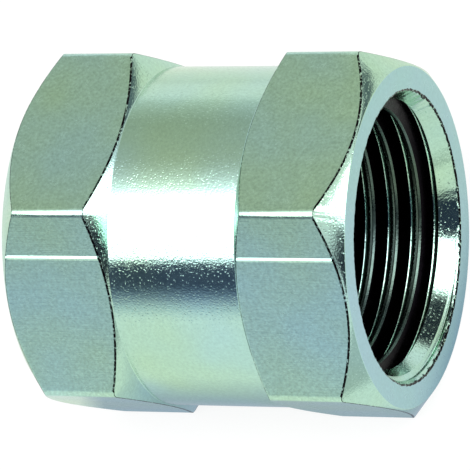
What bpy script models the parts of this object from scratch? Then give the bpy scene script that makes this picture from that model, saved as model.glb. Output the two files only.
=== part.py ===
# Hexagonal threaded socket: a short pipe coupling with the same female thread at each end.
# One piece, turned from drawn hexagon bar and plated. It lies on one of its flats.
#
# Frame: X runs along the bore, Z is up, and the origin is half way along the bore's axis.
# Every length is in metres.
import math

import bmesh
import bpy
from mathutils import Matrix

MM = 0.001

# Half-inch parallel pipe thread, right-hand, tapped right through and countersunk at each mouth.
# The start angle is where the groove's middle comes out of the +X end face, turned from the top.
THREAD_MAJOR_DIAMETER = 20.955 * MM
THREAD_PITCH = 1.814 * MM
THREAD_DEPTH_IN_PITCHES = 0.640327
THREAD_FLANK_ANGLE = math.radians(27.5)
THREAD_START_ANGLE = math.radians(-124)
MOUTH_OVER_THREAD = 0.12 * MM
COUNTERSINK_ANGLE = math.radians(60)

# Drawn hexagon bar, which leaves this wall between the thread and each flat
WALL_AT_FLATS = 2.0225 * MM
BAR_CORNER_RADIUS = 0.6 * MM
LENGTH = 26.5 * MM

# Turned outside: a chamfer at each end face, and a neck between two chamfered shoulders
END_FACE_BELOW_FLATS = 0.15 * MM
END_CHAMFER_ANGLE = math.radians(40)
NECK_LENGTH = 9.8 * MM
NECK_BELOW_FLATS = 0.1 * MM
SHOULDER_CHAMFER_ANGLE = math.radians(30)

# How finely round surfaces are divided, and how far each cutter runs on past what it cuts
ROUND_STEPS = 120
THREAD_STEPS = 60
CORNER_SEGMENTS = 5
OVERRUN = 1.0 * MM
MERGE_DISTANCE = 0.001 * MM
SHARP_EDGE_ANGLE = math.radians(20)

PLATING_COLOUR = (0.72, 0.76, 0.73, 1.0)
PLATING_ROUGHNESS = 0.28

# Worked out from the sizes above
HALF_LENGTH = LENGTH / 2
THREAD_MAJOR_RADIUS = THREAD_MAJOR_DIAMETER / 2
THREAD_MINOR_RADIUS = THREAD_MAJOR_RADIUS - THREAD_DEPTH_IN_PITCHES * THREAD_PITCH
MOUTH_RADIUS = THREAD_MAJOR_RADIUS + MOUTH_OVER_THREAD
FLAT_DISTANCE = THREAD_MAJOR_RADIUS + WALL_AT_FLATS
CORNER_DISTANCE = FLAT_DISTANCE / math.cos(math.pi / 6)
END_FACE_RADIUS = FLAT_DISTANCE - END_FACE_BELOW_FLATS
NECK_RADIUS = FLAT_DISTANCE - NECK_BELOW_FLATS


def clear_scene():
    for old in list(bpy.data.objects):
        bpy.data.objects.remove(old, do_unlink=True)


def new_collection(name):
    collection = bpy.data.collections.new(name)
    bpy.context.scene.collection.children.link(collection)
    return collection


def new_object(name, mesh, collection):
    obj = bpy.data.objects.new(name, mesh)
    collection.objects.link(obj)
    return obj


def plating():
    material = bpy.data.materials.new("bright_plating")
    material.use_nodes = True
    shader = material.node_tree.nodes["Principled BSDF"]
    shader.inputs["Base Color"].default_value = PLATING_COLOUR
    shader.inputs["Metallic"].default_value = 1.0
    shader.inputs["Roughness"].default_value = PLATING_ROUGHNESS
    return material


def hexagon_bar(collection):
    """The bar as drawn, with rounded corners, a little longer than the finished socket."""
    bar = bmesh.new()
    bmesh.ops.create_cone(
        bar,
        cap_ends=True,
        segments=6,
        radius1=CORNER_DISTANCE,
        radius2=CORNER_DISTANCE,
        depth=LENGTH + 2 * OVERRUN,
    )
    # Laid along X, two of the six flats face straight up and straight down.
    bmesh.ops.rotate(bar, verts=bar.verts, matrix=Matrix.Rotation(math.pi / 2, 3, "Y"))
    mesh = bpy.data.meshes.new("hex_socket")
    bar.to_mesh(mesh)
    bar.free()
    socket = new_object("hex_socket", mesh, collection)
    corners = socket.modifiers.new("bar_corners", "BEVEL")
    corners.width = BAR_CORNER_RADIUS * math.tan(math.pi / 6)
    corners.segments = CORNER_SEGMENTS
    corners.limit_method = "ANGLE"
    return socket


def turned(name, profile, collection, steps=ROUND_STEPS):
    """A cutter turned about X from (along the axis, radius) points, which run from +X to -X."""
    mesh = bpy.data.meshes.new(name)
    points = [(along, 0.0, radius) for along, radius in profile]
    mesh.from_pydata(points, [(i, i + 1) for i in range(len(points) - 1)], [])
    cutter = new_object(name, mesh, collection)
    cutter.hide_render = True
    cutter.display_type = "WIRE"
    turning = cutter.modifiers.new("turning", "SCREW")
    turning.axis = "X"
    turning.steps = steps
    turning.render_steps = steps
    turning.use_merge_vertices = True
    turning.merge_threshold = MERGE_DISTANCE
    return cutter


def both_ends(half_profile):
    """A profile given from the +X end to the middle, followed by its mirror image."""
    return half_profile + [(-along, radius) for along, radius in reversed(half_profile)]


def lathe_envelope(collection):
    """All that the lathe leaves of the bar: end faces, chamfers, shoulders and neck."""
    reach = CORNER_DISTANCE + OVERRUN
    end_chamfer = (reach - END_FACE_RADIUS) * math.tan(END_CHAMFER_ANGLE)
    shoulder_chamfer = (reach - NECK_RADIUS) * math.tan(SHOULDER_CHAMFER_ANGLE)
    half = [
        (HALF_LENGTH, 0.0),
        (HALF_LENGTH, END_FACE_RADIUS),
        (HALF_LENGTH - end_chamfer, reach),
        (NECK_LENGTH / 2 + shoulder_chamfer, reach),
        (NECK_LENGTH / 2, NECK_RADIUS),
    ]
    return turned("lathe_envelope", both_ends(half), collection)


def countersinks(collection):
    """A cone into each mouth, joined by a thin core that stays clear of the thread."""
    slope = math.tan(COUNTERSINK_ANGLE / 2)
    core_radius = THREAD_MINOR_RADIUS - OVERRUN
    core_end = HALF_LENGTH - (MOUTH_RADIUS - core_radius) / slope
    half = [
        (HALF_LENGTH + OVERRUN, 0.0),
        (HALF_LENGTH + OVERRUN, MOUTH_RADIUS + OVERRUN * slope),
        (core_end, core_radius),
    ]
    cutter = turned("countersinks", both_ends(half), collection)
    # Half a step round, so that no edge of the cones runs into an edge of the thread or end face.
    cutter.rotation_euler.x = math.pi / ROUND_STEPS
    return cutter


def thread_tap(collection):
    """What the tap cuts: one pitch of the thread's section, screwed through the whole socket."""
    flank = THREAD_DEPTH_IN_PITCHES * THREAD_PITCH * math.tan(THREAD_FLANK_ANGLE)
    crest = THREAD_PITCH / 2 - flank
    turns = math.ceil((LENGTH + 2 * OVERRUN) / THREAD_PITCH) + 4
    # The section is drawn straight above the axis, a part turn from where its groove starts.
    groove_middle = HALF_LENGTH - THREAD_PITCH * THREAD_START_ANGLE / math.tau
    low = groove_middle - (THREAD_PITCH - crest) / 2 - (turns - 2) * THREAD_PITCH
    high = low + THREAD_PITCH
    section = [
        (high, THREAD_MINOR_RADIUS),
        (high - crest, THREAD_MINOR_RADIUS),
        (high - crest - flank, THREAD_MAJOR_RADIUS),
        (low + flank, THREAD_MAJOR_RADIUS),
        (low, THREAD_MINOR_RADIUS),
    ]
    tap = turned("thread_tap", section, collection, THREAD_STEPS)
    turning = tap.modifiers["turning"]
    turning.screw_offset = THREAD_PITCH
    turning.iterations = turns
    turning.use_merge_vertices = False
    weld(tap)
    fix_modifiers(tap)
    close_ends(tap)
    return tap


def close_ends(tap):
    """Close each end of the screwed tube with a fan of faces to one point on its axis."""
    thread = bmesh.new()
    thread.from_mesh(tap.data)
    for side in (-1, 1):
        rim = [edge for edge in thread.edges if edge.is_boundary and edge.verts[0].co.x * side > 0]
        fan = bmesh.ops.extrude_edge_only(thread, edges=rim)["geom"]
        tip = [item for item in fan if isinstance(item, bmesh.types.BMVert)]
        middle = sum(vert.co.x for vert in tip) / len(tip)
        bmesh.ops.pointmerge(thread, verts=tip, merge_co=(middle, 0.0, 0.0))
    bmesh.ops.recalc_face_normals(thread, faces=thread.faces)
    thread.to_mesh(tap.data)
    thread.free()


def cut(obj, cutter, operation):
    boolean = obj.modifiers.new(cutter.name, "BOOLEAN")
    boolean.operation = operation
    boolean.solver = "EXACT"
    boolean.object = cutter


def weld(obj):
    """Join the vertices that lie on each other, such as those between two turns of the thread."""
    welding = obj.modifiers.new("welding", "WELD")
    welding.merge_threshold = MERGE_DISTANCE


def fix_modifiers(obj):
    """Replace an object's mesh by what its modifiers make of it."""
    depsgraph = bpy.context.evaluated_depsgraph_get()
    mesh = bpy.data.meshes.new_from_object(obj.evaluated_get(depsgraph))
    obj.modifiers.clear()
    obj.data = mesh
    mesh.name = obj.name


def finish(obj, material):
    """Shade the round faces smooth between the sharp edges, and plate the whole."""
    fix_modifiers(obj)
    obj.data.shade_smooth()
    obj.data.set_sharp_from_angle(angle=SHARP_EDGE_ANGLE)
    obj.data.materials.clear()
    obj.data.materials.append(material)


def main():
    clear_scene()
    parts = new_collection("threaded_socket")
    cutters = new_collection("cutters")
    socket = hexagon_bar(parts)
    cut(socket, lathe_envelope(cutters), "INTERSECT")
    cut(socket, thread_tap(cutters), "DIFFERENCE")
    cut(socket, countersinks(cutters), "DIFFERENCE")
    socket.modifiers.new("triangles", "TRIANGULATE")
    weld(socket)
    finish(socket, plating())


main()
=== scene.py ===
# %% [markdown]
# # A plated threaded socket
# This object is one piece of metal: a short coupling that joins two half-inch pipes. On the real one a
# length of drawn hexagon bar is turned at both ends and at a neck in the middle, drilled and tapped right
# through, and then plated. The scene follows that order, because each cut decides the edges of the next.
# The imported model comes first. It gives the size and the place that everything below keeps to.

# %% Load the frame
import math

import bmesh
import bpy
from mathutils import Matrix, Vector, noise as field


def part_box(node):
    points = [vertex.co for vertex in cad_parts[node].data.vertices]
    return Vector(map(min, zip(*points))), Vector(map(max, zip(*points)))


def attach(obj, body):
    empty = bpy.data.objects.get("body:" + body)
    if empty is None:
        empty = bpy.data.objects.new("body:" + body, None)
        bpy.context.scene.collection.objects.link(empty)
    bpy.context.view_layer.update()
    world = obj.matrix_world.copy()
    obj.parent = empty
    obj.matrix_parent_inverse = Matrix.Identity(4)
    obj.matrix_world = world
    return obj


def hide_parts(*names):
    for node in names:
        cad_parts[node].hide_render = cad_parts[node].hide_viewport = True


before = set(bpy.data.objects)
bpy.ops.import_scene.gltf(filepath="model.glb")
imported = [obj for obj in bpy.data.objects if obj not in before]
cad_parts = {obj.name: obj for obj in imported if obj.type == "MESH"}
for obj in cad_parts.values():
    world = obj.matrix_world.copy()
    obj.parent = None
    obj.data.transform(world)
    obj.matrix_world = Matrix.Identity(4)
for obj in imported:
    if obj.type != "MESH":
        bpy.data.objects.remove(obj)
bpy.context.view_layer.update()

MM = 0.001
CAD_NODE = "hex_socket"
low_corner, high_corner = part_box(CAD_NODE)
HALF_LENGTH = high_corner.x
FLAT_DISTANCE = high_corner.z
FLOOR_HEIGHT = low_corner.z
print("packed model, in mm:", [round(side / MM, 2) for side in high_corner - low_corner])

# %% [markdown]
# ## The camera
# The picture is taken from rather far away with a long lens, so the bore's two rims look almost alike.
# The socket lies on a flat, and the camera looks down on it from the front right. It is easiest to say
# where the camera is from the socket's own axis: how far it swings out towards the mouth, and how far
# round the axis it has climbed from the level of the table.

# %% Camera
CAMERA_DISTANCE = 357.25 * MM
CAMERA_SWING = math.radians(23.2175)
CAMERA_CLIMB = math.radians(53.7067)
CAMERA_ROLL = math.radians(-0.4323)
AIM_RIGHT = 0.3275 * MM
AIM_UP = -0.0775 * MM
SENSOR_WIDTH = 36.0
LENS = 375.2


def camera_axes():
    """The picture's right, its up, and the way back to the camera, as columns."""
    up = (0.0, math.sin(CAMERA_CLIMB), math.cos(CAMERA_CLIMB))
    out = (0.0, -math.cos(CAMERA_CLIMB), math.sin(CAMERA_CLIMB))
    level = Matrix(((1.0, 0.0, 0.0), up, out)).transposed()
    swing = Matrix.Rotation(CAMERA_SWING, 3, "Y")
    roll = Matrix.Rotation(-CAMERA_ROLL, 3, "Z")
    return level @ swing @ roll


def make_camera():
    lens = bpy.data.cameras.new("camera")
    lens.sensor_width = SENSOR_WIDTH
    lens.lens = LENS
    camera = bpy.data.objects.new("camera", lens)
    bpy.context.scene.collection.objects.link(camera)
    axes = camera_axes()
    right, up, back = axes.col[0], axes.col[1], axes.col[2]
    camera.matrix_world = axes.to_4x4()
    camera.location = CAMERA_DISTANCE * back - AIM_RIGHT * right - AIM_UP * up
    bpy.context.scene.camera = camera
    return camera


camera = make_camera()
print("camera at, in mm:", [round(value / MM, 1) for value in camera.location])

# %% [markdown]
# ## Profiles with rounded corners
# A lathe makes anything that is the same all round, and `bmesh.ops.spin` does the same with a profile.
# A profile is the outline of one side, given by its corners. No real edge is quite sharp, so a corner
# may have a rounding, and a small arc then takes its place. The arc is worked out once, here.

# %% A rounded profile
ARC_STEPS = 4


def arc(before, corner, after, radius):
    """The points of the arc that rounds one corner of a profile."""
    come = (corner - before).normalized()
    go = (after - corner).normalized()
    turn = come.angle(go)
    start = corner - come * radius * math.tan(turn / 2)
    middle = corner + (go - come).normalized() * radius / math.cos(turn / 2)
    spoke = start - middle
    side = math.copysign(turn / ARC_STEPS, come.x * go.y - come.y * go.x)
    return [middle + Matrix.Rotation(side * step, 2) @ spoke for step in range(ARC_STEPS + 1)]


def rounded(corners):
    """A profile's points, from corners given as (along the axis, radius, rounding)."""
    places = [Vector((along, radius)) for along, radius, rounding in corners]
    points = []
    for number, (along, radius, rounding) in enumerate(corners):
        if rounding:
            after = places[(number + 1) % len(places)]
            points += arc(places[number - 1], places[number], after, rounding)
        else:
            points.append(places[number])
    return points


def both_ends(half):
    """A profile given from the +X end to the middle, followed by its mirror image."""
    return half + [(-along, radius, rounding) for along, radius, rounding in reversed(half)]


# %% [markdown]
# ## Turning the blank
# The blank is what the lathe leaves: two end faces, a chamfer at each, and a neck between two shoulders.
# The profile is a closed outline with the drilled hole as its fourth side, so the spun shape is closed
# and needs no caps. It reaches out past the corners of the hexagon, which are cut in the next step.

# %% Spin the blank
END_FACE_BELOW_FLATS = 0.15 * MM
END_FACE_RADIUS = FLAT_DISTANCE - END_FACE_BELOW_FLATS
END_CHAMFER_ANGLE = math.radians(40)
END_EDGE_ROUNDING = 0.12 * MM
NECK_LENGTH = 9.8 * MM
NECK_BELOW_FLATS = 0.1 * MM
NECK_RADIUS = FLAT_DISTANCE - NECK_BELOW_FLATS
SHOULDER_CHAMFER_ANGLE = math.radians(30)
NECK_FOOT_ROUNDING = 0.1 * MM
DRILL_RADIUS = 8.5 * MM
TURNED_REACH = 15.5 * MM
ROUND_STEPS = 360
WELD_DISTANCE = 0.001 * MM
FLAT_SLOT, TURNED_SLOT, THREAD_SLOT, EDGE_SLOT, END_SLOT, CREST_SLOT = range(6)


def spin(points, closed, steps=ROUND_STEPS, advance=0.0):
    """Spin a profile about X. With an advance, each step also moves it along, as a thread runs."""
    shape = bmesh.new()
    row = [shape.verts.new((point.x, 0.0, point.y)) for point in points]
    following = row[1:] + row[:1] if closed else row[1:]
    edges = [shape.edges.new(pair) for pair in zip(row, following)]
    bmesh.ops.spin(
        shape,
        geom=row + edges,
        axis=(1.0, 0.0, 0.0),
        dvec=(advance, 0.0, 0.0),
        angle=math.tau,
        steps=steps,
        use_merge=advance == 0.0,
    )
    bmesh.ops.remove_doubles(shape, verts=shape.verts, dist=WELD_DISTANCE)
    bmesh.ops.recalc_face_normals(shape, faces=shape.faces)
    return shape


def turned_blank():
    end_chamfer = (TURNED_REACH - END_FACE_RADIUS) * math.tan(END_CHAMFER_ANGLE)
    shoulder_chamfer = (TURNED_REACH - NECK_RADIUS) * math.tan(SHOULDER_CHAMFER_ANGLE)
    half = [
        (HALF_LENGTH, DRILL_RADIUS, 0.0),
        (HALF_LENGTH, END_FACE_RADIUS, END_EDGE_ROUNDING),
        (HALF_LENGTH - end_chamfer, TURNED_REACH, 0.0),
        (NECK_LENGTH / 2 + shoulder_chamfer, TURNED_REACH, 0.0),
        (NECK_LENGTH / 2, NECK_RADIUS, NECK_FOOT_ROUNDING),
    ]
    shape = spin(rounded(both_ends(half)), closed=True)
    for face in shape.faces:
        on_end = abs(abs(face.calc_center_median().x) - HALF_LENGTH) < WELD_DISTANCE
        face.material_index = END_SLOT if on_end else TURNED_SLOT
    return shape


blank = turned_blank()
print("turned blank:", len(blank.faces), "faces")

# %% [markdown]
# ## Cutting the flats
# On the real socket the flats come first, as drawn bar, and the lathe cuts into them. Either order gives
# the same solid. Here `bisect_plane` slices the turned blank and drops what is outside, and the open cut
# is filled with one flat face. That face stays perfectly flat, so it mirrors cleanly, and its outline is
# the true curve where a cone meets a plane. The bar's rounded corners are slices too, a few degrees
# apart.

# %% Slice the hexagon
BAR_CORNER_RADIUS = 0.6 * MM
SLICES_PER_FLAT = 12
CUT_TOLERANCE = 0.00001 * MM


def slice_away(shape, distance, normal):
    """Cut off all that lies past a plane, and close the cut."""
    bmesh.ops.bisect_plane(
        shape,
        geom=shape.verts[:] + shape.edges[:] + shape.faces[:],
        dist=CUT_TOLERANCE,
        plane_co=normal * distance,
        plane_no=normal,
        clear_outer=True,
    )
    rims = [edge for edge in shape.edges if edge.is_boundary]
    for face in bmesh.ops.edgeloop_fill(shape, edges=rims)["faces"]:
        face.material_index = FLAT_SLOT


def slice_hexagon(shape):
    corner_middle = (FLAT_DISTANCE - BAR_CORNER_RADIUS) / math.cos(math.pi / 6)
    slices = 6 * SLICES_PER_FLAT
    for number in range(slices):
        angle = math.tau * number / slices
        off_corner = angle % (math.pi / 3) - math.pi / 6
        distance = corner_middle * math.cos(off_corner) + BAR_CORNER_RADIUS
        slice_away(shape, distance, Vector((0.0, -math.sin(angle), math.cos(angle))))


slice_hexagon(blank)
print("sliced blank:", len(blank.faces), "faces")

# %% [markdown]
# ## Breaking the edges
# Where a chamfer meets a flat, the lathe leaves a fine edge that plating and handling have rounded a
# little. It is far too small to see as a shape, but each such edge shows as a thin line. The edges to
# bevel are easy to find: they have a flat on one side and a turned face on the other. The bevels and a
# narrow margin along the arcs on one side of each hexagon take a dark colour broken by bright specks,
# partly dirt and partly painted shade. An inset of each flat makes that margin, and its arc sides are
# picked out.

# %% Bevel the arcs
EDGE_BREAK = 0.03 * MM
ARC_MARGIN = 0.12 * MM
HEXAGON_MIDDLE = (HALF_LENGTH + NECK_LENGTH / 2) / 2
LEAST_FLAT_WIDTH = 3.0 * MM


def break_edges(shape):
    both = {FLAT_SLOT, TURNED_SLOT}
    arcs = [edge for edge in shape.edges if {face.material_index for face in edge.link_faces} == both]
    beveled = bmesh.ops.bevel(
        shape,
        geom=arcs,
        offset=EDGE_BREAK,
        segments=2,
        profile=0.5,
        affect="EDGES",
        material=-1,
    )
    for face in beveled["faces"]:
        face.material_index = EDGE_SLOT
    return len(arcs)


def on_darkened_side(face):
    along = face.calc_center_median().x
    return along > math.copysign(HEXAGON_MIDDLE, along)


def mark_arcs(shape):
    """Set off a narrow margin of each flat, and on one side give it the dark edge colour, dirt and
    painted shade.
    """
    flats = [
        face
        for face in shape.faces
        if face.material_index == FLAT_SLOT and face.calc_area() > LEAST_FLAT_WIDTH**2
    ]
    margins = bmesh.ops.inset_individual(
        shape, faces=flats, thickness=ARC_MARGIN, depth=0.0, use_even_offset=True
    )["faces"]
    beside_arc = [
        face
        for face in margins
        if on_darkened_side(face)
        and any(other.material_index == EDGE_SLOT for edge in face.edges for other in edge.link_faces)
    ]
    for face in beside_arc:
        face.material_index = EDGE_SLOT
    return len(beside_arc)


print("edges broken:", break_edges(blank))
print("faces along the arcs:", mark_arcs(blank))

# %% [markdown]
# ## The die line
# The die that the bar was drawn through had a nick in it, which left a fine straight ridge along one
# flat. Three more slices mark it out on that flat alone, with nothing taken away, and its middle line is
# then lifted a few hundredths of a millimetre.

# %% Raise the die line
DIE_LINE_OFF_CORNER = 3.55 * MM
DIE_LINE_WIDTH = 0.34 * MM
DIE_LINE_HEIGHT = 0.068 * MM
DIE_LINE_FLAT = math.radians(60)
FLAT_TOLERANCE = 0.999
ON_LINE_TOLERANCE = 10 * CUT_TOLERANCE


def raise_die_line(shape):
    """Raise it on the flat that is turned by DIE_LINE_FLAT from the top, towards the front."""
    normal = Vector((0.0, -math.sin(DIE_LINE_FLAT), math.cos(DIE_LINE_FLAT)))
    across = Vector((0.0, -math.cos(DIE_LINE_FLAT), -math.sin(DIE_LINE_FLAT)))
    half_flat = FLAT_DISTANCE * math.tan(math.pi / 6)
    middle = DIE_LINE_OFF_CORNER - half_flat
    for offset in (-DIE_LINE_WIDTH / 2, 0.0, DIE_LINE_WIDTH / 2):
        flat = [face for face in shape.faces if face.normal.dot(normal) > FLAT_TOLERANCE]
        flat = [face for face in flat if face.material_index == FLAT_SLOT]
        parts = set(flat)
        for face in flat:
            parts.update(face.edges, face.verts)
        bmesh.ops.bisect_plane(
            shape,
            geom=list(parts),
            dist=CUT_TOLERANCE,
            plane_co=across * (middle + offset),
            plane_no=across,
        )
    crest = [
        vert
        for vert in shape.verts
        if abs(vert.co.dot(across) - middle) < ON_LINE_TOLERANCE
        and vert.co.dot(normal) > FLAT_DISTANCE - EDGE_BREAK
    ]
    bmesh.ops.translate(shape, verts=crest, vec=normal * DIE_LINE_HEIGHT)
    return len(crest)


print("die line points raised:", raise_die_line(blank))

# %% [markdown]
# ## The countersinks
# Each mouth is opened by a cone, so that a pipe's thread starts easily. The cutter is one spun shape for
# both mouths, joined by a thin core. Just outside the end face its profile opens out, with a small
# rounding there, so the cut leaves a rim that is slightly broken and not a knife edge. A countersink
# chatters, so the rim isn't quite round either: noise moves its points in and out by a few hundredths.

# %% Spin the countersinks
THREAD_MAJOR_DIAMETER = 20.955 * MM
THREAD_MAJOR_RADIUS = THREAD_MAJOR_DIAMETER / 2
THREAD_PITCH = 1.814 * MM
THREAD_DEPTH_IN_PITCHES = 0.640327
THREAD_DEPTH = THREAD_DEPTH_IN_PITCHES * THREAD_PITCH
THREAD_MINOR_RADIUS = THREAD_MAJOR_RADIUS - THREAD_DEPTH
MOUTH_OVER_THREAD = 0.12 * MM
MOUTH_RADIUS = THREAD_MAJOR_RADIUS + MOUTH_OVER_THREAD
COUNTERSINK_ANGLE = math.radians(60)
COUNTERSINK_TURN_IN_STEPS = 0.35
RIM_BREAK = 0.05 * MM
RIM_ROUNDING = 0.1 * MM
RIM_FLARE = 2.2 * MM
RIM_NICK = 0.12 * MM
RIM_NICK_SIZE = 0.3 * MM
RIM_NICK_REACH = 0.11 * MM
RIM_NICK_END = 0.2 * MM
OVERRUN = 1.0 * MM


def chatter(shape):
    """Move the points near each rim in and out, and give the faces there the dark edge colour, dirt and
    painted shade.
    """
    reach = RIM_NICK_REACH + WELD_DISTANCE
    rims = {vert for vert in shape.verts if abs(abs(vert.co.x) - HALF_LENGTH) < reach}
    for vert in rims:
        nick = field.noise(vert.co / RIM_NICK_SIZE) * RIM_NICK
        vert.co += Vector((0.0, vert.co.y, vert.co.z)).normalized() * nick
    for face in shape.faces:
        if rims.issuperset(face.verts):
            face.material_index = EDGE_SLOT


def countersinks():
    core_radius = THREAD_MINOR_RADIUS - OVERRUN
    slope = math.tan(COUNTERSINK_ANGLE / 2)
    core_end = HALF_LENGTH - (MOUTH_RADIUS - core_radius) / slope
    flare_start = RIM_FLARE * (RIM_NICK_REACH + RIM_BREAK) / OVERRUN
    half = [
        (HALF_LENGTH + OVERRUN, 0.0, 0.0),
        (HALF_LENGTH + OVERRUN, MOUTH_RADIUS + RIM_FLARE, 0.0),
        (HALF_LENGTH + RIM_NICK_REACH, MOUTH_RADIUS + flare_start, 0.0),
        (HALF_LENGTH - RIM_BREAK, MOUTH_RADIUS - RIM_BREAK * slope, RIM_ROUNDING),
        (HALF_LENGTH - RIM_NICK_REACH, MOUTH_RADIUS - RIM_NICK_REACH * slope, 0.0),
        (HALF_LENGTH - RIM_NICK_END, MOUTH_RADIUS - RIM_NICK_END * slope, 0.0),
        (core_end, core_radius, 0.0),
    ]
    shape = spin(rounded(both_ends(half)), closed=False)
    # Turned by part of a step, so that its edges don't lie in the blank's own planes.
    turn = Matrix.Rotation(COUNTERSINK_TURN_IN_STEPS * math.tau / ROUND_STEPS, 3, "X")
    bmesh.ops.rotate(shape, verts=shape.verts, matrix=turn)
    for face in shape.faces:
        face.material_index = TURNED_SLOT
    chatter(shape)
    return shape


sinks = countersinks()
print("countersinks:", len(sinks.faces), "faces")

# %% [markdown]
# ## The tap
# A tap is a screw that cuts. Spin with an advance draws one turn of it: the profile moves along by one
# pitch as it goes round. Copies of that turn, each a pitch further on, weld into a thread that is longer
# than the socket. The groove's bottom has the full rounding of a pipe thread. The crests that it leaves
# are flat, because they are what remains of the drilled hole, and a gauge has worn a small slope on each
# of their edges. Crest, flank and bottom are numbered apart, because each of them shines in its own way.

# %% Spin the tap
THREAD_FLANK_ANGLE = math.radians(27.5)
THREAD_START_ANGLE = math.radians(-112)
ROOT_ROUNDING = 0.13 * THREAD_PITCH
CREST_WEAR = 0.09 * MM
CREST_WEAR_ANGLE = math.radians(30)
CREST_ROUNDING = 0.05 * MM
BRIGHT_ROOT_HEIGHT = 0.03 * MM
THREAD_STEPS = 180
SPARE_TURNS = 2


def thread_section():
    """One pitch of the groove, from the middle of one crest to the middle of the next."""
    flank = THREAD_DEPTH * math.tan(THREAD_FLANK_ANGLE)
    root = THREAD_PITCH / 4 - flank / 2
    wear_foot = root + flank - CREST_WEAR * math.tan(THREAD_FLANK_ANGLE)
    wear_top = wear_foot + CREST_WEAR / math.tan(CREST_WEAR_ANGLE)
    half = [
        (THREAD_PITCH / 2, THREAD_MINOR_RADIUS, 0.0),
        (wear_top, THREAD_MINOR_RADIUS, CREST_ROUNDING),
        (wear_foot, THREAD_MINOR_RADIUS + CREST_WEAR, CREST_ROUNDING),
        (root, THREAD_MAJOR_RADIUS, ROOT_ROUNDING),
    ]
    return rounded(both_ends(half))


def thread_tap():
    turns = math.ceil(2 * (HALF_LENGTH + OVERRUN) / THREAD_PITCH) + 2 * SPARE_TURNS
    # Straight above the axis the groove lies part of a turn from where it leaves the +X end face.
    groove = HALF_LENGTH - THREAD_PITCH * THREAD_START_ANGLE / math.tau
    first = Vector((groove - (turns - SPARE_TURNS) * THREAD_PITCH, 0.0))
    section = [point + first for point in thread_section()]
    shape = spin(section, closed=False, steps=THREAD_STEPS, advance=THREAD_PITCH / THREAD_STEPS)
    one_turn = shape.verts[:] + shape.edges[:] + shape.faces[:]
    for number in range(1, turns):
        copy = bmesh.ops.duplicate(shape, geom=one_turn)["geom"]
        verts = [item for item in copy if isinstance(item, bmesh.types.BMVert)]
        bmesh.ops.translate(shape, verts=verts, vec=(THREAD_PITCH * number, 0.0, 0.0))
    bmesh.ops.remove_doubles(shape, verts=shape.verts, dist=WELD_DISTANCE)
    for side in (-1, 1):
        close_end(shape, side)
    bmesh.ops.recalc_face_normals(shape, faces=shape.faces)
    for face in shape.faces:
        middle = face.calc_center_median()
        radius = math.hypot(middle.y, middle.z)
        face.material_index = THREAD_SLOT
        if radius < THREAD_MINOR_RADIUS + CREST_WEAR:
            face.material_index = CREST_SLOT
        if radius > THREAD_MAJOR_RADIUS - BRIGHT_ROOT_HEIGHT:
            face.material_index = TURNED_SLOT
    return shape


def close_end(shape, side):
    """Draw the open rim at one end together to a point on the axis."""
    rim = [edge for edge in shape.edges if edge.is_boundary and edge.verts[0].co.x * side > 0]
    fan = bmesh.ops.extrude_edge_only(shape, edges=rim)["geom"]
    tip = [item for item in fan if isinstance(item, bmesh.types.BMVert)]
    middle = sum(vert.co.x for vert in tip) / len(tip)
    bmesh.ops.pointmerge(shape, verts=tip, merge_co=(middle, 0.0, 0.0))


tap = thread_tap()
print("tap:", len(tap.faces), "faces")

# %% [markdown]
# ## Materials
# Plated metal has almost no colour of its own. What it shows is what stands round it, so the material's
# work is in the finish. The bar's flats are satin from the drawing die. The turned faces are brighter,
# with fine rings from the tool. All of them have a cool green cast and a fine grain, like the skin of an
# orange seen close, which scatters small sparks wherever a bright reflection meets a dark one.

# %% Node helpers
def node(tree, kind, **settings):
    """Add a node, and give it any settings of its own, such as its operation."""
    made = tree.nodes.new(kind)
    for name, value in settings.items():
        setattr(made, name, value)
    return made


def math_node(tree, operation, first, second=0.0):
    """Work on one or two values, each of them a number or a socket."""
    made = node(tree, "ShaderNodeMath", operation=operation)
    for socket, value in zip(made.inputs, (first, second)):
        if isinstance(value, (int, float)):
            socket.default_value = value
        else:
            tree.links.new(value, socket)
    return made.outputs[0]


def split(tree, place):
    """The X, Y and Z of a place, as outputs."""
    parts = node(tree, "ShaderNodeSeparateXYZ")
    tree.links.new(place, parts.inputs[0])
    return parts.outputs


def noise(tree, place, size, detail=2.0):
    """Noise whose blotches are about as wide as size, in metres."""
    made = node(tree, "ShaderNodeTexNoise")
    made.inputs["Scale"].default_value = 1.0 / size
    made.inputs["Detail"].default_value = detail
    tree.links.new(place, made.inputs["Vector"])
    return made.outputs["Fac"]


def spread(tree, value, low, high, start=0.3, end=0.7):
    """Stretch a value that runs from start to end over a new range, and stop at its limits."""
    made = node(tree, "ShaderNodeMapRange")
    made.inputs["From Min"].default_value = start
    made.inputs["From Max"].default_value = end
    made.inputs["To Min"].default_value = low
    made.inputs["To Max"].default_value = high
    tree.links.new(value, made.inputs["Value"])
    return made.outputs["Result"]


def mix(tree, amount, first, second, blend="MIX"):
    """Mix two colours, each of them a colour or a socket."""
    made = node(tree, "ShaderNodeMix", data_type="RGBA", blend_type=blend)
    for name, value in (("Factor", amount), ("A", first), ("B", second)):
        if isinstance(value, (float, tuple)):
            made.inputs[name].default_value = value
        else:
            tree.links.new(value, made.inputs[name])
    return made.outputs["Result"]


# %% Where the marks run
RING_DRIFT = 0.03
STREAK_SQUEEZE = 0.04


def object_place(tree):
    return node(tree, "ShaderNodeTexCoord").outputs["Object"]


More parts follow.
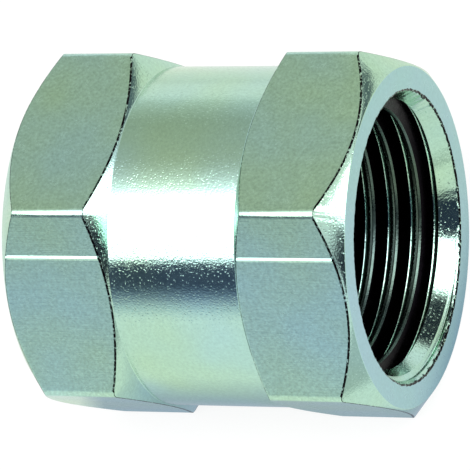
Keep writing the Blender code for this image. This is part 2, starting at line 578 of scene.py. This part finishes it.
def ring_place(tree, place):
    """Coordinates in which a noise makes rings about X: along the axis, and out from it."""
    parts = split(tree, place)
    across = node(tree, "ShaderNodeCombineXYZ")
    tree.links.new(parts["Y"], across.inputs["Y"])
    tree.links.new(parts["Z"], across.inputs["Z"])
    radius = node(tree, "ShaderNodeVectorMath", operation="LENGTH")
    tree.links.new(across.outputs[0], radius.inputs[0])
    rings = node(tree, "ShaderNodeCombineXYZ")
    tree.links.new(parts["X"], rings.inputs["X"])
    tree.links.new(radius.outputs["Value"], rings.inputs["Y"])
    around = math_node(tree, "MULTIPLY", parts["Y"], RING_DRIFT)
    tree.links.new(around, rings.inputs["Z"])
    return rings.outputs[0]


def drawn_place(tree, place):
    """Coordinates in which a noise makes streaks along X."""
    made = node(tree, "ShaderNodeMapping")
    made.inputs["Scale"].default_value = (STREAK_SQUEEZE, 1.0, 1.0)
    tree.links.new(place, made.inputs["Vector"])
    return made.outputs[0]


# %% The plated finish
PLATING_GREEN = (0.47, 0.70, 0.52, 1.0)
PLATING_BLUE = (0.44, 0.69, 0.70, 1.0)
FACED_GREEN = (0.35, 0.59, 0.59, 1.0)
FACED_BLUE = (0.37, 0.57, 0.67, 1.0)
CAST_SIZE = 9.0 * MM
FLECK_SIZE = 0.22 * MM
FLECK_DETAIL = 3.0
MOTTLE_SIZE = 0.7 * MM
MOTTLE_DETAIL = 4.0
GRAIN_SIZE = 0.14 * MM
PIT_SPACING = 0.2 * MM
PIT_SHARE = 0.3
MARK_SIZE = 0.09 * MM
MARK_DETAIL = 1.0


def pits(tree, place):
    """Small round pits, scattered one to a cell: 1 outside them, falling to 0 at their middles."""
    cells = node(tree, "ShaderNodeTexVoronoi")
    cells.inputs["Scale"].default_value = 1.0 / PIT_SPACING
    tree.links.new(place, cells.inputs["Vector"])
    return spread(tree, cells.outputs["Distance"], 0.0, 1.0, 0.0, PIT_SHARE)


def plated(name, colours, marks_place, roughness, mottle, fleck, grain, pit_depth, marks):
    """One finish. Grain, pits and marks are heights. Mottle and fleck: how gloss and colour wander."""
    material = bpy.data.materials.new(name)
    material.use_nodes = True
    tree = material.node_tree
    shader = tree.nodes["Principled BSDF"]
    shader.inputs["Metallic"].default_value = 1.0
    place = object_place(tree)
    cast = mix(tree, spread(tree, noise(tree, place, CAST_SIZE), 0.0, 1.0), *colours)
    flecks = spread(tree, noise(tree, place, FLECK_SIZE, FLECK_DETAIL), 1.0 - fleck, 1.0 + fleck)
    tree.links.new(mix(tree, 1.0, cast, flecks, "MULTIPLY"), shader.inputs["Base Color"])
    gloss = noise(tree, place, MOTTLE_SIZE, MOTTLE_DETAIL)
    wander = spread(tree, gloss, roughness - mottle, roughness + mottle)
    tree.links.new(wander, shader.inputs["Roughness"])
    height = math_node(tree, "MULTIPLY", noise(tree, place, GRAIN_SIZE), grain)
    height = math_node(tree, "ADD", height, math_node(tree, "MULTIPLY", pits(tree, place), pit_depth))
    lines = noise(tree, marks_place(tree, place), MARK_SIZE, MARK_DETAIL)
    height = math_node(tree, "ADD", height, math_node(tree, "MULTIPLY", lines, marks))
    bump = node(tree, "ShaderNodeBump")
    bump.inputs["Strength"].default_value = 1.0
    bump.inputs["Distance"].default_value = 1.0
    tree.links.new(height, bump.inputs["Height"])
    tree.links.new(bump.outputs["Normal"], shader.inputs["Normal"])
    return material


# %% Bar and lathe finishes
BRIGHT = (PLATING_GREEN, PLATING_BLUE)
FACED = (FACED_GREEN, FACED_BLUE)
UM = 0.000001
drawn_flats = plated(
    "drawn_flats",
    BRIGHT,
    drawn_place,
    roughness=0.24,
    mottle=0.04,
    fleck=0.13,
    grain=4 * UM,
    pit_depth=1 * UM,
    marks=2 * UM,
)
turned_faces = plated(
    "turned_faces",
    BRIGHT,
    ring_place,
    roughness=0.12,
    mottle=0.03,
    fleck=0.06,
    grain=8 * UM,
    pit_depth=9 * UM,
    marks=3 * UM,
)
faced_ends = plated(
    "faced_ends",
    FACED,
    ring_place,
    roughness=0.3,
    mottle=0.04,
    fleck=0.05,
    grain=6 * UM,
    pit_depth=1 * UM,
    marks=2 * UM,
)

# %% [markdown]
# ## Painted shade and dark edges
# Down in the bore the flanks are painted with shade past the first part turn, the crests take a fixed
# share of the same dark colour, and the bottom of the groove is left bright. On the edges a dark colour,
# partly dirt and partly painted shade, is broken by bright specks. All are the same plating with a dark
# colour mixed over it: by the distance from the middle on the flanks, by one amount on the crests, and
# by noise on the edges.

# %% Painted shade and dark edges
# One dark colour: painted shade in the bore, and dirt with painted shade on the edges
DIRT_AND_SHADE_COLOUR = (0.006, 0.005, 0.007, 1.0)
FLANK_SHADE_END = HALF_LENGTH - 0.9 * MM
FLANK_SHADE_FULL = HALF_LENGTH - 1.3 * MM
CREST_DARK_SHARE = 0.78
SPECK_SIZE = 0.2 * MM
SPECK_DETAIL = 3.0
SPECK_START = 0.56
SPECK_END = 0.66


def cover(material, amount):
    """Mix the dark colour, painted shade and dirt, over a finish's own colour."""
    tree = material.node_tree
    colour = tree.nodes["Principled BSDF"].inputs["Base Color"]
    bright = colour.links[0].from_socket
    tree.links.new(mix(tree, amount, bright, DIRT_AND_SHADE_COLOUR), colour)


def painted_shade_on_flanks(tree):
    """Painted shade: all of it down in the bore, and none near the mouths."""
    from_middle = math_node(tree, "ABSOLUTE", split(tree, object_place(tree))["X"])
    return spread(tree, from_middle, 1.0, 0.0, FLANK_SHADE_FULL, FLANK_SHADE_END)


def dirt_and_shade_in_tears(tree):
    """All of it, apart from small specks that are left bright."""
    specks = noise(tree, object_place(tree), SPECK_SIZE, SPECK_DETAIL)
    return spread(tree, specks, 1.0, 0.0, SPECK_START, SPECK_END)


cut_thread = plated(
    "cut_thread",
    BRIGHT,
    ring_place,
    roughness=0.25,
    mottle=0.05,
    fleck=0.05,
    grain=6 * UM,
    pit_depth=2 * UM,
    marks=3 * UM,
)
# The flanks are painted darker deeper in the bore, as shade
cover(cut_thread, painted_shade_on_flanks(cut_thread.node_tree))
worn_crests = plated(
    "worn_crests",
    BRIGHT,
    ring_place,
    roughness=0.28,
    mottle=0.05,
    fleck=0.1,
    grain=9 * UM,
    pit_depth=6 * UM,
    marks=3 * UM,
)
# The crests take a fixed share of the dark colour, which dims what they mirror
cover(worn_crests, CREST_DARK_SHARE)
# Bevels, arc margins and rims: dark, partly dirt and partly painted shade, with bright specks
edge_dirt_and_shade = plated(
    "edge_dirt_and_shade",
    BRIGHT,
    drawn_place,
    roughness=0.3,
    mottle=0.05,
    fleck=0.1,
    grain=12 * UM,
    pit_depth=4 * UM,
    marks=1 * UM,
)
cover(edge_dirt_and_shade, dirt_and_shade_in_tears(edge_dirt_and_shade.node_tree))
# In the order of the slots that the faces were given
finishes = [drawn_flats, turned_faces, cut_thread, edge_dirt_and_shade, faced_ends, worn_crests]
print("finishes:", [finish.name for finish in finishes])

# %% [markdown]
# ## Cutting the socket
# The cone and the helix meet along a curve that no bmesh operator gives, so two Boolean modifiers do the
# cutting, as the drill press would. Each face keeps the number of its own material, on the blank and on
# both cutters. The result is read back as one mesh, cleaned, and shaded smooth between its sharp edges.

# %% Cut and clean
SHARP_ANGLE = math.radians(18)
TINY_EDGE = 0.002 * MM


def as_object(name, shape):
    mesh = bpy.data.meshes.new(name)
    shape.to_mesh(mesh)
    shape.free()
    for finish in finishes:
        mesh.materials.append(finish)
    made = bpy.data.objects.new(name, mesh)
    bpy.context.scene.collection.objects.link(made)
    return made


def cut_away(target, cutters):
    """Take the cutters out of the target, in order, and then remove them."""
    for cutter in cutters:
        boolean = target.modifiers.new(cutter.name, "BOOLEAN")
        boolean.operation = "DIFFERENCE"
        boolean.solver = "EXACT"
        boolean.object = cutter
    result = target.evaluated_get(bpy.context.evaluated_depsgraph_get())
    mesh = bpy.data.meshes.new_from_object(result)
    target.modifiers.clear()
    target.data = mesh
    mesh.name = target.name
    for cutter in cutters:
        bpy.data.objects.remove(cutter)


def clean(obj):
    """Merge what the cuts left too fine, mark the sharp edges, and measure the result."""
    shape = bmesh.new()
    shape.from_mesh(obj.data)
    bmesh.ops.remove_doubles(shape, verts=shape.verts, dist=TINY_EDGE)
    for face in shape.faces:
        face.smooth = True
    for edge in shape.edges:
        edge.smooth = edge.calc_face_angle(0.0) < SHARP_ANGLE
    shape.to_mesh(obj.data)
    open_edges = sum(not edge.is_manifold for edge in shape.edges)
    volume = shape.calc_volume()
    shape.free()
    return open_edges, volume


socket = as_object("plated_socket", blank)
cut_away(socket, [as_object("countersinks", sinks), as_object("tap", tap)])
open_edges, volume = clean(socket)
weights = socket.modifiers.new("even_shading", "WEIGHTED_NORMAL")
weights.keep_sharp = True
print("socket:", len(socket.data.polygons), "faces,", open_edges, "open edges")
print("volume, in mm3:", round(volume / MM**3))

# %% [markdown]
# ## The studio
# A pale table, one large softbox overhead and a little in front, a small lamp out to the right, and a
# white room. Bright metal in such a room would be white all over, so photographers stand dark and grey
# cards round it, just out of the picture, and the metal draws its shape with them. Only reflections see
# these cards: they light nothing, and the camera looks through them.

# %% Table and background
TABLE_SIZE = 4.0
TABLE_COLOUR = (0.8, 0.8, 0.8, 1.0)
# Each look of the table is two colours: what the lamps light, and what glows by itself
TABLE_TO_EYE = ((0.15, 0.15, 0.15, 1.0), (0.88, 0.88, 0.88, 1.0))
TABLE_TO_MIRROR = ((0.2, 0.19, 0.13, 1.0), (0.72, 0.75, 0.76, 1.0))
# A painted shadow that only mirrors see: the table under the part, darker and bluer
TABLE_PAINTED_SHADOW = ((0.05, 0.05, 0.05, 1.0), (0.42, 0.48, 0.58, 1.0))
SHADE_INNER = 11.0 * MM
SHADE_OUTER = 20.0 * MM
SHADE_PAST_END = 2.0 * MM
FILL_LIGHT = 0.35


def light_path(tree, *kinds):
    """1 for a ray of one of these kinds, and otherwise 0."""
    path = node(tree, "ShaderNodeLightPath")
    either = 0.0
    for kind in kinds:
        either = math_node(tree, "MAXIMUM", path.outputs[f"Is {kind} Ray"], either)
    return either


def lit_and_glowing(tree, colours):
    """A surface that the lamps light and shade, with a glow of its own under it."""
    lit = node(tree, "ShaderNodeBsdfDiffuse")
    glow = node(tree, "ShaderNodeEmission")
    lit.inputs["Color"].default_value, glow.inputs["Color"].default_value = colours
    both = node(tree, "ShaderNodeAddShader")
    tree.links.new(lit.outputs[0], both.inputs[0])
    tree.links.new(glow.outputs[0], both.inputs[1])
    return both.outputs[0]


def choose(tree, amount, first, second):
    made = node(tree, "ShaderNodeMixShader")
    for socket, value in zip(made.inputs, (amount, first, second)):
        tree.links.new(value, socket)
    return made.outputs[0]


def outside_painted_shadow(tree):
    """Painted shadow mask: 0 on the strip of table that the part stands over, 1 well to any side of it.
    """
    parts = split(tree, object_place(tree))
    aside = math_node(tree, "ABSOLUTE", parts["Y"])
    along = math_node(tree, "ABSOLUTE", parts["X"])
    past_side = spread(tree, aside, 0.0, 1.0, SHADE_INNER, SHADE_OUTER)
    past_end = spread(tree, along, 0.0, 1.0, HALF_LENGTH, HALF_LENGTH + SHADE_PAST_END)
    return math_node(tree, "MAXIMUM", past_side, past_end)


def table_material():
    """Plain to the lamps, white to the eye, and to mirrors a darker, bluer painted shadow under the part.
    """
    material = bpy.data.materials.new("pale_table")
    material.use_nodes = True
    tree = material.node_tree
    tree.nodes.clear()
    plain = node(tree, "ShaderNodeBsdfDiffuse")
    plain.inputs["Color"].default_value = TABLE_COLOUR
    to_eye = lit_and_glowing(tree, TABLE_TO_EYE)
    shaded = lit_and_glowing(tree, TABLE_PAINTED_SHADOW)
    to_mirror = choose(tree, outside_painted_shadow(tree), shaded, lit_and_glowing(tree, TABLE_TO_MIRROR))
    seen = choose(tree, light_path(tree, "Camera", "Transmission"), plain.outputs[0], to_eye)
    mirrored = choose(tree, light_path(tree, "Glossy"), seen, to_mirror)
    output = node(tree, "ShaderNodeOutputMaterial")
    tree.links.new(mirrored, output.inputs["Surface"])
    return material


def white_room():
    world = bpy.data.worlds.new("white_room")
    world.use_nodes = True
    tree = world.node_tree
    background = tree.nodes["Background"]
    background.inputs["Color"].default_value = (1.0, 1.0, 1.0, 1.0)
    seen = light_path(tree, "Camera", "Glossy", "Transmission")
    tree.links.new(math_node(tree, "MAXIMUM", seen, FILL_LIGHT), background.inputs["Strength"])
    bpy.context.scene.world = world


def board(name, width, depth, centre, turn, material):
    """A flat rectangle, used for the table and for each card."""
    shape = bmesh.new()
    bmesh.ops.create_grid(shape, x_segments=1, y_segments=1, size=0.5)
    bmesh.ops.scale(shape, vec=(width, depth, 1.0), verts=shape.verts)
    bmesh.ops.rotate(shape, matrix=turn, verts=shape.verts)
    bmesh.ops.translate(shape, vec=centre, verts=shape.verts)
    mesh = bpy.data.meshes.new(name)
    shape.to_mesh(mesh)
    shape.free()
    mesh.materials.append(material)
    made = bpy.data.objects.new(name, mesh)
    bpy.context.scene.collection.objects.link(made)
    return made


LEVEL = Matrix.Identity(3)
table = board("table", TABLE_SIZE, TABLE_SIZE, (0.0, 0.0, FLOOR_HEIGHT), LEVEL, table_material())
white_room()
print("table at, in mm:", round(FLOOR_HEIGHT / MM, 2))

# %% Softbox and side light
SOFTBOX_HEIGHT = 0.5
SOFTBOX_TURN = math.radians(17.3)
SOFTBOX_LENGTH = 2.6 * SOFTBOX_HEIGHT
SOFTBOX_BACK = -0.045 * SOFTBOX_HEIGHT
SOFTBOX_FRONT = -1.01 * SOFTBOX_HEIGHT
SIDE_LIGHT_SIZE = (0.31, 0.3)
SIDE_LIGHT_PLACE = (0.8, 0.13, 0.165)
SIDE_LIGHT_TURN = math.radians(90)
LIGHT_BRIGHTNESS = 3.3


def area_light(name, length, width, place, turn):
    """A lamp whose surface is equally bright whatever its size."""
    light = bpy.data.lights.new(name, "AREA")
    light.shape = "RECTANGLE"
    light.size = length
    light.size_y = width
    light.energy = LIGHT_BRIGHTNESS * math.pi * length * width
    lamp = bpy.data.objects.new(name, light)
    bpy.context.scene.collection.objects.link(lamp)
    lamp.location = place
    lamp.rotation_euler = turn
    return lamp


with_softbox = Matrix.Rotation(SOFTBOX_TURN, 3, "Z")
softbox_middle = Vector((0.0, (SOFTBOX_BACK + SOFTBOX_FRONT) / 2, SOFTBOX_HEIGHT))
softbox = area_light(
    "softbox",
    SOFTBOX_LENGTH,
    SOFTBOX_BACK - SOFTBOX_FRONT,
    with_softbox @ softbox_middle,
    (0.0, 0.0, SOFTBOX_TURN),
)
side_light = area_light("side_light", *SIDE_LIGHT_SIZE, SIDE_LIGHT_PLACE, (0.0, SIDE_LIGHT_TURN, 0.0))
print("lamp power, in watts:", round(softbox.data.energy, 1), round(side_light.data.energy, 1))

# %% [markdown]
# ## Graded cards
# A card that goes from pale to dark has a list of stops, each with its colour and its place across the
# card: in metres on the cards in front, and in heights of the ceiling overhead. The card behind the
# softbox fades from its light into an olive grey, which the upper flats mirror. The left one in front
# is nearly black at the height that the neck mirrors, and pales down to the table. The plain cards are
# smaller, and are there for the end chamfer and the countersink.

# %% Cards
CEILING = 0.52
CEILING_STOPS = [
    (0.0, (1.9, 2.0, 2.1)),
    (0.06, (1.35, 1.3, 1.4)),
    (0.17, (0.93, 0.92, 0.94)),
    (0.33, (0.61, 0.61, 0.55)),
    (0.55, (0.545, 0.55, 0.46)),
    (1.2, (0.47, 0.49, 0.42)),
    (2.9, (0.8, 0.84, 0.82)),
]
FRONT_DISTANCE = 1.2
FRONT_LEFT_STOPS = [
    (0.0, (0.84, 0.90, 0.90)),
    (0.11, (0.64, 0.70, 0.74)),
    (0.19, (0.42, 0.46, 0.55)),
    (0.28, (0.2, 0.24, 0.34)),
    (0.42, (0.06, 0.075, 0.12)),
]
FRONT_RIGHT_STOPS = [
    (0.1, (0.95, 0.95, 0.90)),
    (0.22, (0.88, 0.9, 0.88)),
    (0.34, (0.03, 0.04, 0.07)),
]
FRONT_SPLIT = 0.2
FRONT_HALF_WIDTH = 2.5
FRONT_TOP = 2.4
ON_TABLE_HEIGHT = FLOOR_HEIGHT + 0.2 * MM
BLACK = (0.03, 0.035, 0.05)
GREY = (0.14, 0.17, 0.2)
PALE_GREY = (0.62, 0.65, 0.61)
# Each card's place: where it starts and ends across, the same the other way, and how far out it is
CEILING_LEFT = ((-0.8, 0.0), (-0.03, 1.55), CEILING)
CEILING_RIGHT = ((0.28, 0.6), (0.17, 1.2), CEILING)
FRONT_LEFT = ((-FRONT_HALF_WIDTH, FRONT_SPLIT), (0.0, FRONT_TOP), FRONT_DISTANCE)
FRONT_RIGHT = ((FRONT_SPLIT, FRONT_HALF_WIDTH), (0.0, FRONT_TOP), FRONT_DISTANCE)
LOW_RIGHT = ((-0.062, -0.006), (-0.012, 0.032), 0.13)
# A painted shade for mirrors: a pale grey sheet on the table to the front right of the part
PAINTED_SHADE_CARD = ((0.022, 0.055), (-0.036, -0.0155), ON_TABLE_HEIGHT)
LOW_BACK = ((-0.22, 0.24), (-0.06, 0.22), 0.8)


def plain_colour(tree, colour):
    return (*colour, 1.0)


def graded_colour(tree, axis, turn, scale, stops):
    """A ramp along one axis of the scene, after turning it about Z. The stops are lengths over scale."""
    place = node(tree, "ShaderNodeMapping", vector_type="TEXTURE")
    place.inputs["Rotation"].default_value = (0.0, 0.0, turn)
    place.inputs["Scale"].default_value = (scale, scale, scale)
    tree.links.new(object_place(tree), place.inputs["Vector"])
    along = split(tree, place.outputs[0])[axis]
    colour = (*stops[0][1], 1.0)
    for (start, _), (end, following) in zip(stops, stops[1:]):
        amount = spread(tree, along, 0.0, 1.0, start, end)
        colour = mix(tree, amount, colour, (*following, 1.0))
    return colour


def card_material(name, colour_of, *details):
    material = bpy.data.materials.new(name)
    material.use_nodes = True
    tree = material.node_tree
    tree.nodes.clear()
    glow = node(tree, "ShaderNodeEmission")
    colour = colour_of(tree, *details)
    if isinstance(colour, tuple):
        glow.inputs["Color"].default_value = colour
    else:
        tree.links.new(colour, glow.inputs["Color"])
    output = node(tree, "ShaderNodeOutputMaterial")
    tree.links.new(glow.outputs[0], output.inputs["Surface"])
    return material


def card(name, place, turn, material):
    """A rectangle that only mirrors see. Its place is turned with it."""
    across, upward, out = place
    width, depth = across[1] - across[0], upward[1] - upward[0]
    centre = turn @ Vector((sum(across) / 2, sum(upward) / 2, out))
    made = board(name, width, depth, centre, turn, material)
    made.visible_camera = False
    made.visible_diffuse = False
    made.visible_shadow = False
    made.visible_transmission = False
    return made


UPRIGHT_FRONT = Matrix.Rotation(math.radians(90), 3, "X")
UPRIGHT_RIGHT = Matrix.Rotation(math.radians(90), 3, "Z") @ UPRIGHT_FRONT
UPRIGHT_BACK_RIGHT = Matrix.Rotation(math.radians(135), 3, "Z") @ UPRIGHT_FRONT
ceiling = card_material("ceiling_card", graded_colour, "Y", SOFTBOX_TURN, CEILING, CEILING_STOPS)
front_left = card_material("front_left_card", graded_colour, "Z", 0.0, 1.0, FRONT_LEFT_STOPS)
front_right = card_material("front_right_card", graded_colour, "Z", 0.0, 1.0, FRONT_RIGHT_STOPS)
black = card_material("black_card", plain_colour, BLACK)
grey = card_material("grey_card", plain_colour, GREY)
pale_grey = card_material("pale_grey_card", plain_colour, PALE_GREY)
card("ceiling_left", CEILING_LEFT, with_softbox, ceiling)
card("ceiling_right", CEILING_RIGHT, LEVEL, black)
card("front_left", FRONT_LEFT, UPRIGHT_FRONT, front_left)
card("front_right", FRONT_RIGHT, UPRIGHT_FRONT, front_right)
card("low_right", LOW_RIGHT, UPRIGHT_RIGHT, black)
# The pale grey sheet on the table is painted shade, for the lower end chamfer
card("painted_shade_on_table", PAINTED_SHADE_CARD, LEVEL, pale_grey)
card("low_back", LOW_BACK, UPRIGHT_BACK_RIGHT, grey)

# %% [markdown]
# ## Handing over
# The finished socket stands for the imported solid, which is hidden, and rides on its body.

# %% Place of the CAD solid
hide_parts(CAD_NODE)
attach(socket, "root")

view = bpy.context.scene.view_settings
view.view_transform = "Standard"
